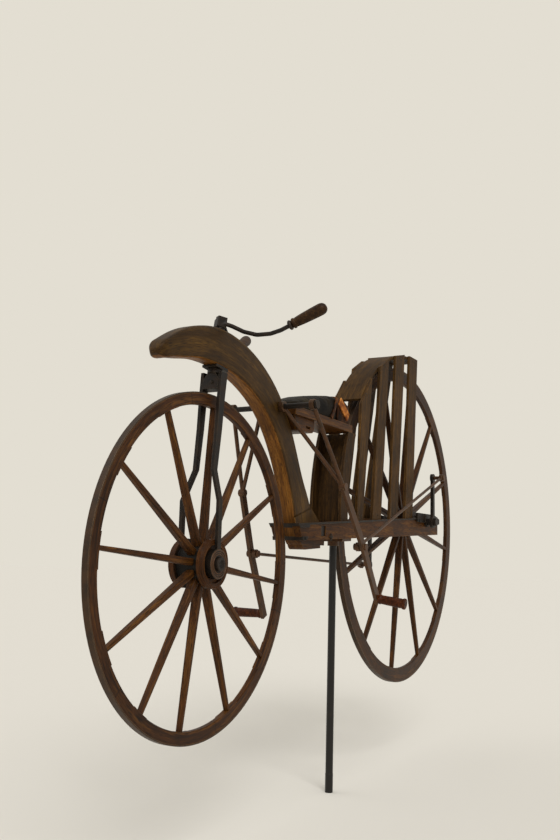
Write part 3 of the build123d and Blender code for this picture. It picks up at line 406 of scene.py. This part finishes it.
def turned(grid, profile, start, way, steps=40):
    """Solid of revolution from rows of distance along the axis and radius."""
    way = Vector(way).normalized()
    side = way.orthogonal().normalized()
    verts = [grid.verts.new(start + way * along / 1000 + side * radius / 1000)
             for along, radius in profile]
    edges = [grid.edges.new(pair) for pair in zip(verts, verts[1:])]
    bmesh.ops.spin(grid, geom=verts + edges, cent=start, axis=way, angle=2 * math.pi, steps=steps,
                   use_merge=True)
    bmesh.ops.remove_doubles(grid, verts=grid.verts, dist=1e-6)


def bead(grid, centre, way, radius, thick, steps=64):
    """Turned half-round ring on a face, its middle a little below the face."""
    turns = [math.radians(turn) for turn in range(0, 361, 40)]
    rows = [(-0.35 * thick + thick * math.cos(turn), radius + thick * math.sin(turn))
            for turn in turns]
    turned(grid, rows, centre, way, steps)


def headed(grid, place, way, radius, height, sides, crown=0.72):
    """Head of a bolt or nail, its foot sunk a little: 4 sides for a nut, more for a dome."""
    turn = Vector(way).to_track_quat("Z", "X").to_matrix().to_4x4()
    bmesh.ops.create_cone(grid, cap_ends=True, segments=sides, radius1=radius / 1000,
                          radius2=radius * crown / 1000, depth=height / 1000,
                          matrix=Matrix.Translation(place + way * height / 2200) @ turn)


def met(tree, start, way):
    """Where a line meets a CAD node, and the way its face looks."""
    place, face_way = tree.ray_cast(start, way)[:2]
    return place, face_way


def tree_of(name):
    grid = merged(name)
    tree = BVHTree.FromBMesh(grid)
    grid.free()
    return tree


def loose_parts(grid):
    """Vertex lists of a mesh's separate solids."""
    left, parts = dict.fromkeys(grid.verts), []
    while left:
        found = [left.popitem()[0]]
        for vert in found:
            for edge in vert.link_edges:
                other = edge.other_vert(vert)
                if other in left:
                    del left[other]
                    found.append(other)
        parts.append(found)
    return parts


def middle_of(verts):
    return sum((vert.co for vert in verts), Vector()) / len(verts)


# Beam: its nose is rounded like the toe of a shoe. Over its last 150 mm the top comes down and the
# whole droops, and over the last 36 mm the foot rises and the sides draw in

nose_reach, toe_reach = 0.15, 0.036
top_fall, foot_rise, droop, drawn_back, side_share = 0.0155, 0.0135, 0.0048, 0.0040, 0.8
beam = merged("neck_beam")
nose_tilt = math.radians(-22.4)
nose_way = Vector((math.cos(nose_tilt), 0, math.sin(nose_tilt)))
nose_up = Vector((-nose_way.z, 0, nose_way.x))
tip = max(vert.co.dot(nose_way) for vert in beam.verts)
for back in (1, 3, 5.5, 8.5, 12, 16, 20, 25, 30, 36, 44, 54, 66, 80, 96, 112, 130, 150):
    cut(beam, nose_way * (tip - back / 1000), nose_way)
nose = [vert for vert in beam.verts if vert.co.dot(nose_way) > tip - nose_reach]
toe = [vert.co.dot(nose_up) for vert in nose if vert.co.dot(nose_way) > tip - toe_reach]
top, foot = max(toe), min(toe)
waist = foot + 0.42 * (top - foot)
for vert in nose:
    back = tip - vert.co.dot(nose_way)
    height = vert.co.dot(nose_up) - waist
    if height > 0:
        fall = (1 - back / nose_reach) ** 1.5 * height / (top - waist)
        vert.co -= nose_up * top_fall * fall
    elif back < toe_reach:
        rise_share = (1 - back / toe_reach) ** 1.8 * height / (foot - waist)
        vert.co += nose_up * foot_rise * rise_share
    if back < toe_reach:
        vert.co.y *= math.sqrt(1 - side_share * (1 - back / toe_reach) ** 2.4)
    vert.co -= nose_up * droop * (1 - back / nose_reach) ** 1.3
    vert.co -= nose_way * drawn_back * (1 - back / nose_reach)
dressed_beam = stand_in("neck_beam", beam, sharp=40)

# The wood that faces the front wheel gets the painted light of the underside
dressed_beam.data.materials.append(underside_painted_light_wood)
for face in dressed_beam.data.polygons:
    inward = front_axle - face.center
    inward.y = 0
    if face.normal.dot(inward.normalized()) > 0.7:
        face.material_index = 1


# Rails, upper strap and foot block: their front ends slope back towards the bottom


def sloped(name, ahead_of, top, bottom):
    """Copy of a node whose end ahead of a place is sheared to run through two points (X, Z)."""
    grid = merged(name)
    front = max(vert.co.x for vert in grid.verts)
    slope = (top[0] - bottom[0]) / (top[1] - bottom[1])
    for vert in grid.verts:
        if vert.co.x > ahead_of / 1000:
            vert.co.x += bottom[0] / 1000 + (vert.co.z - bottom[1] / 1000) * slope - front
    return grid


for name in ("rail_left", "rail_right"):
    stand_in(name, sloped(name, 285, (297.9, 724.3), (267.4, 684.2)))
stand_in("upper_strap", sloped("upper_strap", 284, (300.9, 724.3), (270.4, 684.2)))
block = sloped("foot_block", 239, (260, 694), (233, 662))
low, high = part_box("foot_block")
block_front = 0.233
corner = [edge for edge in block.edges if edge.calc_face_angle(0) > 0.5
          and all(vert.co.x > block_front - 0.0005 and vert.co.z < low[2] + 1e-5
                  for vert in edge.verts)]
round_off(block, corner, 0.015, 8)
stand_in("foot_block", block)


# Seat bracket: lower rear corner rounded, a slot in each side

slot_x, slot_z = (0.240, 0.266), (0.9815, 0.9885)
bracket = merged("seat_bracket")
low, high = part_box("seat_bracket")
corner = [edge for edge in bracket.edges
          if all(abs(vert.co.x - low[0]) < 1e-5 and abs(vert.co.z - low[2]) < 1e-5
                 for vert in edge.verts)]
round_off(bracket, corner, 0.018, 10)
for x in slot_x:
    cut(bracket, (x, 0, 0), (1, 0, 0))
for z in slot_z:
    cut(bracket, (0, 0, z), (0, 0, 1))
slots = [face for face in bracket.faces
         if abs(face.normal.y) > 0.9 and slot_x[0] < face.calc_center_median().x < slot_x[1]
         and slot_z[0] < face.calc_center_median().z < slot_z[1]]
bmesh.ops.inset_individual(bracket, faces=slots, thickness=0.0004, depth=-0.009)
stand_in("seat_bracket", bracket)


# Seat: a black leather pad ahead of a brown roll, both stuffed


def pad_blank(outline, half_width, rounding):
    """Closed blank of a pad from its outline seen from the side, with its upper edges rounded."""
    grid = bmesh.new()
    side = grid.faces.new([grid.verts.new(metres(x, -half_width, z)) for x, z in outline])
    pulled = bmesh.ops.extrude_face_region(grid, geom=[side])
    moved = [item for item in pulled["geom"] if isinstance(item, bmesh.types.BMVert)]
    bmesh.ops.translate(grid, verts=moved, vec=metres(0, 2 * half_width, 0))
    bmesh.ops.recalc_face_normals(grid, faces=grid.faces)
    base = min(vert.co.z for vert in grid.verts)
    upper = [edge for edge in grid.edges if edge.calc_face_angle(0) > 0.5
             and max(vert.co.z for vert in edge.verts) > base + 0.003]
    round_off(grid, upper, rounding / 1000, 4, clamp_overlap=True)
    return grid


def stuffed(grid, name, material, cap, stands_for=()):
    """Pad whose cover swells with its stuffing but lies flat on the board: run as cloth, capped."""
    rough_mesh = bpy.data.meshes.new(name)
    grid.to_mesh(rough_mesh)
    grid.free()
    made = bpy.data.objects.new(name, rough_mesh)
    bpy.context.scene.collection.objects.link(made)
    remesh = made.modifiers.new("even", "REMESH")
    remesh.mode = "VOXEL"
    remesh.voxel_size = 0.005
    shaped = made.evaluated_get(bpy.context.evaluated_depsgraph_get())
    even = bpy.data.meshes.new_from_object(shaped)
    made.modifiers.clear()
    made.data = even
    board_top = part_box("seat_board")[1][2]
    for vert in even.vertices:
        if vert.co.z < board_top + 0.0028:
            vert.co.z = board_top
    start = [vert.co.copy() for vert in even.vertices]
    held = made.vertex_groups.new(name="board")
    on_board = [vert.index for vert in even.vertices if vert.co.z < board_top + 0.0005]
    held.add(on_board, 1.0, "REPLACE")
    cloth = made.modifiers.new("cover", "CLOTH")
    cloth.settings.use_pressure = True
    cloth.settings.uniform_pressure_force = 4
    cloth.settings.effector_weights.gravity = 0
    cloth.settings.vertex_group_mass = "board"
    cloth.settings.tension_stiffness = 20
    cloth.settings.compression_stiffness = 20
    for moment in range(1, 21):
        bpy.context.scene.frame_set(moment)
    swollen = made.evaluated_get(bpy.context.evaluated_depsgraph_get()).data
    for vert, was, now in zip(even.vertices, start, swollen.vertices):
        step = now.co - was
        if step.length > cap / 1000:
            step *= cap / 1000 / step.length
        vert.co = was + step
    made.modifiers.clear()
    made.vertex_groups.clear()
    bpy.context.scene.frame_set(1)
    for vert in even.vertices:
        vert.co.z = max(vert.co.z, board_top)
    even.materials.clear()
    even.materials.append(material)
    even.shade_smooth()
    smooth = made.modifiers.new("smooth", "SUBSURF")
    smooth.levels = smooth.render_levels = 1
    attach(made, "frame")
    if stands_for:
        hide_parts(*stands_for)
    return made


seat_z = 1030.0
front_outline = [(339, seat_z), (94, seat_z), (94, seat_z + 66), (113, seat_z + 64.5),
                 (182, seat_z + 53), (252, seat_z + 40), (300, seat_z + 26), (339, seat_z + 13)]
roll_outline = [(87, seat_z), (-1, seat_z), (-2, seat_z + 34), (8, seat_z + 57), (32, seat_z + 66),
                (72, seat_z + 68), (87, seat_z + 64)]
pads = [
    stuffed(pad_blank(front_outline, 48.5, 6), "pad_front", black_leather, 4, ("seat_pad",)),
    stuffed(pad_blank(roll_outline, 48.5, 8), "pad_roll", brown_leather, 4),
]

# Straps that come out between the pads and splay down both sides to the board: the top and foot of
# each one's middle line, and its width
board_side, clear_of_pad = 0.0500, 0.0006
laid_on = [BVHTree.FromPolygons([vert.co.copy() for vert in pad.data.vertices],
                                [tuple(face.vertices) for face in pad.data.polygons])
           for pad in pads]
for strap_name, material, top, foot, width in (
    # the rear strap is tan leather whose bright orange-tan is partly a painted highlight
    ("strap_rear", tan_leather_painted_highlight, (80, 1088), (22, 1048), 26),
    ("strap_fore", brown_leather, (97, 1090), (134, 1031), 13),
):
    strap = bmesh.new()
    along = (metres(foot[0], 0, foot[1]) - metres(top[0], 0, top[1]))
    beside = Vector((along.z, 0, -along.x)).normalized() * width / 1000
    for side in (1, -1):
        laid = bmesh.ops.create_grid(strap, x_segments=4, y_segments=20, size=0.5)["verts"]
        for vert in laid:
            spot = metres(top[0], 0, top[1]) + along * (vert.co.y + 0.5) + beside * vert.co.x
            hits = [tree.ray_cast(Vector((spot.x, side * 0.1, spot.z)), Vector((0, -side, 0)))[0]
                    for tree in laid_on]
            reach = max([side * hit.y for hit in hits if hit] + [board_side])
            vert.co = Vector((spot.x, side * (reach + clear_of_pad), spot.z))
        for again in range(3):
            bmesh.ops.smooth_vert(strap, verts=laid, factor=0.5, use_axis_y=True)
    bmesh.ops.recalc_face_normals(strap, faces=strap.faces)
    for face in strap.faces:
        if face.normal.y * face.calc_center_median().y < 0:
            face.normal_flip()
    bmesh.ops.solidify(strap, geom=strap.faces[:], thickness=-0.0026)
    finished(strap, "seat_" + strap_name, "frame", material)

# Welt over the joint between the pads, from board to board
welt = bpy.data.curves.new("pad_welt", "CURVE")
welt.dimensions = "3D"
welt.bevel_depth = 0.0024
welt.bevel_resolution = 3
line = welt.splines.new("NURBS")
half_route = [(49.5, 1031), (50, 1062), (50, 1084), (46, 1096), (30, 1098.5)]
route = ([(-side, height) for side, height in half_route] + [(0, 1099)]
         + half_route[::-1])
line.points.add(len(route) - 1)
for point, (side, height) in zip(line.points, route):
    point.co = (*metres(90, side, height), 1.0)
line.order_u = 3
line.use_endpoint_u = True
holder = bpy.data.objects.new("welt_line", welt)
bpy.context.scene.collection.objects.link(holder)
welt_grid = bmesh.new()
welt_grid.from_mesh(bpy.data.meshes.new_from_object(holder))
bpy.data.objects.remove(holder)
bmesh.ops.remove_doubles(welt_grid, verts=welt_grid.verts, dist=1e-6)
bmesh.ops.holes_fill(welt_grid, edges=welt_grid.edges)
finished(welt_grid, "pad_welt", "frame", brown_leather)


# Handlebar clamp: a low block with eased corners, its nut set down on it

stem_way = Vector((-0.1246, 0, 0.9922))
clamp_drop = 0.0075
clamp = merged("handlebar")
block_top = max(vert.co.dot(stem_way) for vert in clamp.verts
                if (vert.co - Vector((0.6405, 0, 1.19))).length < 0.03)
for vert in clamp.verts:
    if vert.co.dot(stem_way) > block_top - 0.0005 and abs(vert.co.y) < 0.03:
        vert.co -= stem_way * clamp_drop
stem_hole, stem_hole_reach = Vector((0.6405, 0, 1.184)), 0.010
rim = [edge for edge in clamp.edges
       if edge.calc_face_angle(0) > 1 and abs(middle_of(edge.verts).y) < 0.03
       and all(abs(vert.co.dot(stem_way) - block_top + clamp_drop) < 0.0006
               and (vert.co - stem_hole).length > stem_hole_reach for vert in edge.verts)]
round_off(clamp, rim, 0.0035, 4, clamp_overlap=True)
stand_in("handlebar", clamp)
nut = merged("stem_nut")
bmesh.ops.translate(nut, verts=nut.verts, vec=stem_way * -clamp_drop)
rim = [edge for edge in nut.edges if edge.calc_face_angle(0) > 1.2
       and all(vert.co.dot(stem_way) > block_top for vert in edge.verts)]
round_off(nut, rim, 0.0018, 2)
stand_in("stem_nut", nut)


# Turned parts

# Hub: beads turned on the flange faces
rings = bmesh.new()
for side, face in ((1, 0.0370), (-1, -0.0500)):
    for radius, thick in ((52.2, 1.5), (47.6, 1.2), (43.2, 1.4)):
        bead(rings, Vector((front_axle.x, face, front_axle.z)), (0, side, 0), radius, thick)
finished(rings, "hub_beads", "front_wheel", front_hub_wood)

# Eyes of the fork blades: beads round the axle's ends
rings = bmesh.new()
for side, face in ((1, 0.0465), (-1, -0.0595)):
    for radius, thick in ((30.4, 2.2), (25.4, 1.5), (20.6, 1.9)):
        bead(rings, Vector((front_axle.x, face, front_axle.z)), (0, side, 0), radius, thick)
finished(rings, "eye_beads", "steering", brown_iron)

# Front axle: riveted ends, dished in the middle
axle = merged("front_axle")
for side in (1, -1):
    reach = max(side * vert.co.y for vert in axle.verts)
    rim = [edge for edge in axle.edges if edge.calc_face_angle(0) > 1
           and all(side * vert.co.y > reach - 1e-5 for vert in edge.verts)]
    round_off(axle, rim, 0.0022, 4)
    end = [face for face in axle.faces if side * face.calc_center_median().y > reach - 1e-5]
    bmesh.ops.inset_region(axle, faces=end, thickness=0.0045, depth=0)
    bmesh.ops.inset_region(axle, faces=end, thickness=0.0012, depth=-0.0030)
stand_in("front_axle", axle)


def ends_of(verts):
    """Middles of the two end rings of a turned solid, from its lower to its upper end."""
    middle = middle_of(verts)
    far = max(verts, key=lambda vert: (vert.co - middle).length).co
    way = (far - middle).normalized()
    for again in range(4):
        high = max(vert.co.dot(way) for vert in verts)
        low = min(vert.co.dot(way) for vert in verts)
        top = middle_of([vert for vert in verts if vert.co.dot(way) > high - 0.0022])
        foot = middle_of([vert for vert in verts if vert.co.dot(way) < low + 0.0022])
        way = (top - foot).normalized()
    return foot, top


# Grips and their collars, from the collar to the rounded end
grip_length, collar_length = 88.0, 11
grip_rows = [(0, 0), (0, 10.2), (1.4, 12.0), (4.0, 12.6), (6.6, 12.0), (8, 10.6), (9.6, 10.9),
             (14, 11.6), (24, 12.4), (36, 13.0), (50, 13.5), (62, 13.9), (72, 14.0), (77, 13.5),
             (81.5, 11.9), (85, 9.0), (87.2, 5.2), (grip_length, 0)]
collar_rows = [(0, 5.2), (0, 6.6), (0.8, 8.6), (2.6, 11.0), (5.0, 12.0), (7.4, 11.4), (9.4, 9.6),
               (10.6, 7.6), (collar_length, 6.0), (collar_length, 5.2)]
bar_middle = Vector((0.64, 0, 1.18))
collars = bmesh.new()
for name in ("grip_left", "grip_right"):
    solid = merged(name)
    foot, top = ends_of(solid.verts[:])
    solid.free()
    if (foot - bar_middle).length > (top - bar_middle).length:
        foot, top = top, foot
    way = (top - foot).normalized()
    middle = (foot + top) / 2
    root = middle - way * grip_length / 2000
    grip = bmesh.new()
    turned(grip, grip_rows, root, way)
    stand_in(name, grip, sharp=50)
    turned(collars, collar_rows, root - way * (collar_length / 1000), way)
stand_in("ferrules", collars, sharp=50)

# Pedals: a turned sleeve with beads at both ends and a pinned iron cap
for name, side, pin_droop, length in (("pedal_left", 1, 10.0, 78.0),
                                      ("pedal_right", -1, 0.0, 92.0)):
    solid = merged(name)
    middle = middle_of(solid.verts[:])
    down = Vector((middle.x - pivot.x, 0, middle.z - pivot.z)).normalized()
    turn = math.radians(pin_droop)
    way = Vector((0, side, 0)) * math.cos(turn) + down * math.sin(turn)
    high = max(vert.co.dot(way) for vert in solid.verts)
    outer = middle_of([vert for vert in solid.verts if vert.co.dot(way) > high - 0.0002])
    solid.free()
    pedal = bmesh.new()
    rows = [(-4, 0), (-4, 10.4), (2, 11.2), (4, 13.0), (6.5, 13.6), (9, 12.8), (10.5, 11.6),
            (14, 12.0), (length * 0.5, 12.7), (length - 14, 13.2), (length - 10.5, 12.6),
            (length - 9, 13.6), (length - 7, 14.8), (length - 3, 15.0), (length - 1, 14.4),
            (length, 13.0), (length, 7.5), (length - 1.6, 6.0), (length - 1.6, 0)]
    start = outer - way * length / 1000
    turned(pedal, rows, start, way)
    cut(pedal, start, (0, side, 0), clear_inner=True)
    bmesh.ops.holes_fill(pedal, edges=[edge for edge in pedal.edges if edge.is_boundary])
    stand_in(name, pedal, sharp=50)
    cap = bmesh.new()
    turned(cap, [(0, 0), (0, 5.4), (0.9, 5.2), (2.0, 3.4), (2.4, 0)], outer - way * 0.0017, way, 20)
    finished(cap, name + "_pin", body_of[name], black_iron)


# Nails, bolts and nuts, each set on the face that it holds

above_foot, below_top, beside_middle = 0.016, 0.014, 0.008
nails = bmesh.new()
for name, side in (("slats_left", 1), ("slats_right", -1)):
    slats = merged(name)
    slat_tree = BVHTree.FromBMesh(slats)
    for solid in loose_parts(slats):
        solid.sort(key=lambda vert: vert.co.z)
        foot, top = middle_of(solid[:4]), middle_of(solid[-4:])
        along = (top - foot).normalized()
        across_way = Vector((along.z, 0, -along.x)).normalized()
        for place in (foot + along * above_foot, top - along * below_top):
            for off in (-beside_middle, beside_middle):
                outside = place + across_way * off + Vector((0, side * 0.2, 0))
                spot, face_way = met(slat_tree, outside, Vector((0, -side, 0)))
                if spot:
                    headed(nails, spot, face_way, 2.6, 1.1, 12, 0.6)
    slats.free()
finished(nails, "slat_nails", "frame", black_iron)

# Nodes on the left and right, a place outside the left one, radius, height and number of sides
both_sides = (
    (("bearing_left", "bearing_right"), (-636, 300, 774), 7.0, 4.0, 4),
    (("bearing_left", "bearing_right"), (-480, 300, 774), 7.0, 4.0, 4),
    (("lower_strap", "lower_strap"), (264, 200, 690.5), 4.0, 2.6, 12),
    (("seat_bracket", "seat_bracket"), (320, 200, 990), 5.0, 3.0, 12),
    (("shield_cheeks", "shield_cheeks"), (8, 200, 985), 3.0, 1.4, 12),
    (("shield_cheeks", "shield_cheeks"), (26, 200, 920), 3.0, 1.4, 12),
)
fastened = [("steering", "fork_crown", (800, 4, 1032), (-1, 0, 0), 5.0, 3.2, 4)]
for (left, right), (x, y, z), radius, height, sides in both_sides:
    fastened += [("frame", left, (x, y, z), (0, -1, 0), radius, height, sides),
                 ("frame", right, (x, -y, z), (0, 1, 0), radius, height, sides)]
for body in ("frame", "steering"):
    bolts = bmesh.new()
    for rides_on, name, start, way, radius, height, sides in fastened:
        if rides_on == body:
            spot, face_way = met(tree_of(name), metres(*start), Vector(way))
            headed(bolts, spot, face_way, radius, height, sides)
    if body == "frame":
        # four-lobed nuts on the bolt that runs through the rails over the foot block
        for side, name in ((1, "rail_left"), (-1, "rail_right")):
            outside = metres(124, side * 200, 699)
            spot, face_way = met(tree_of(name), outside, Vector((0, -side, 0)))
            headed(bolts, spot, face_way, 5.5, 4.5, 8)
            for quarter in range(4):
                turn = math.pi / 2 * quarter
                off = Vector((math.cos(turn), 0, math.sin(turn))) * 0.0072
                headed(bolts, spot + off, face_way, 3.6, 3.2, 10, 0.5)
    finished(bolts, body + "_bolts", body, black_iron)


# Floor, sky and lamps

backdrop = "e3ded2"
floor_material, _, shader = new_material("pale_floor")
shader.inputs["Base Color"].default_value = colour("e4e0d8")
shader.inputs["Roughness"].default_value = 1.0
shader.inputs["Specular IOR Level"].default_value = 0.0
floor_mesh = bpy.data.meshes.new("floor")
grid = bmesh.new()
bmesh.ops.create_circle(grid, cap_ends=True, segments=96, radius=40)
grid.to_mesh(floor_mesh)
grid.free()
floor = bpy.data.objects.new("floor", floor_mesh)
floor_mesh.materials.append(floor_material)
bpy.context.scene.collection.objects.link(floor)

world = bpy.data.worlds.new("studio")
bpy.context.scene.world = world
world.use_nodes = True
sky = world.node_tree
rays = add(sky, "LightPath").outputs
shown = add(sky, "Math", {0: rays["Is Camera Ray"], 1: rays["Is Transmission Ray"]},
            operation="MAXIMUM").outputs[0]
tone = add(sky, "Mix", {"Factor": shown, "A": colour("d0cec8"), "B": colour(backdrop)},
           data_type="RGBA").outputs[2]
sky.links.new(tone, sky.nodes["Background"].inputs["Color"])
sky.nodes["Background"].inputs["Strength"].default_value = 1.0
for name, way, strength, spread in (("key", (-1.0, -0.9, -1.2), 1.35, 28),
                                    ("fill", (-0.3, 1.0, -0.6), 0.45, 50)):
    lamp = bpy.data.objects.new(name, bpy.data.lights.new(name, "SUN"))
    lamp.data.energy = strength
    lamp.data.angle = math.radians(spread)
    lamp.rotation_euler = Vector(way).to_track_quat("-Z", "Y").to_euler()
    bpy.context.scene.collection.objects.link(lamp)

bpy.context.scene.view_settings.view_transform = "Standard"
